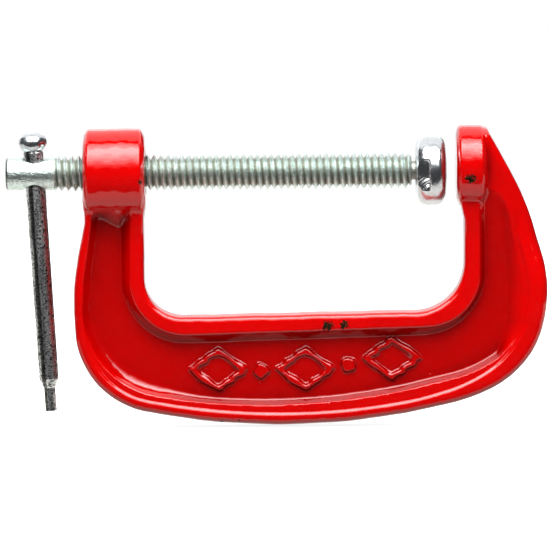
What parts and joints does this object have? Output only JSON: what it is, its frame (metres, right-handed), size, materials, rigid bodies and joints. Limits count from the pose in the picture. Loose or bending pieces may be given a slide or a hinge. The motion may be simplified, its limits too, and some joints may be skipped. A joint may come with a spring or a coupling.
{
  "type": "c clamp",
  "caption": "Cast C clamp with a screw spindle, a swivel pad, a round anvil and a sliding tommy bar, for holding work together while it is glued or cut.",
  "frame": {"origin": "on the screw's axis, at the anvil's clamping face", "axes": "+X along the screw from its handle to the anvil, +Z out of the open throat, +Y from the pictured side to the far side"},
  "size_m": [0.1228, 0.0202, 0.0678],
  "materials": {
    "frame_paint": "gloss red enamel, dipped thick over a rough casting, chipped on its edges",
    "zinc_steel": "bright zinc plate",
    "bright_plate": "bright plate, nearly a mirror",
    "bar_steel": "zinc plate over drawn rod, mottled grey"
  },
  "bodies": {
    "frame": {"frame": "frame_paint"},
    "swivel_pad": {"swivel_pad": "bright_plate"},
    "spindle": {"spindle": "zinc_steel"},
    "tommy_bar": {"tommy_bar": "bar_steel", "bar_ball_end": "bright_plate"}
  },
  "joints": [
    {"name": "pad_travel", "type": "slide", "parent": "frame", "child": "swivel_pad", "axis": [1, 0, 0], "range_m": [-0.0608, 0.0019]},
    {"name": "spindle_turn", "type": "hinge", "parent": "swivel_pad", "child": "spindle", "pos_m": [-0.05, 0, 0], "axis": [1, 0, 0], "range_deg": [-14030, 438]},
    {"name": "bar_slide", "type": "slide", "parent": "spindle", "child": "tommy_bar", "axis": [-0.0569, 0, 0.9984], "range_m": [-0.0011, 0.0435]}
  ],
  "couplings": [
    {"joint": "pad_travel", "follows": "spindle_turn", "m_per_rad": 0.00024828}
  ]
}
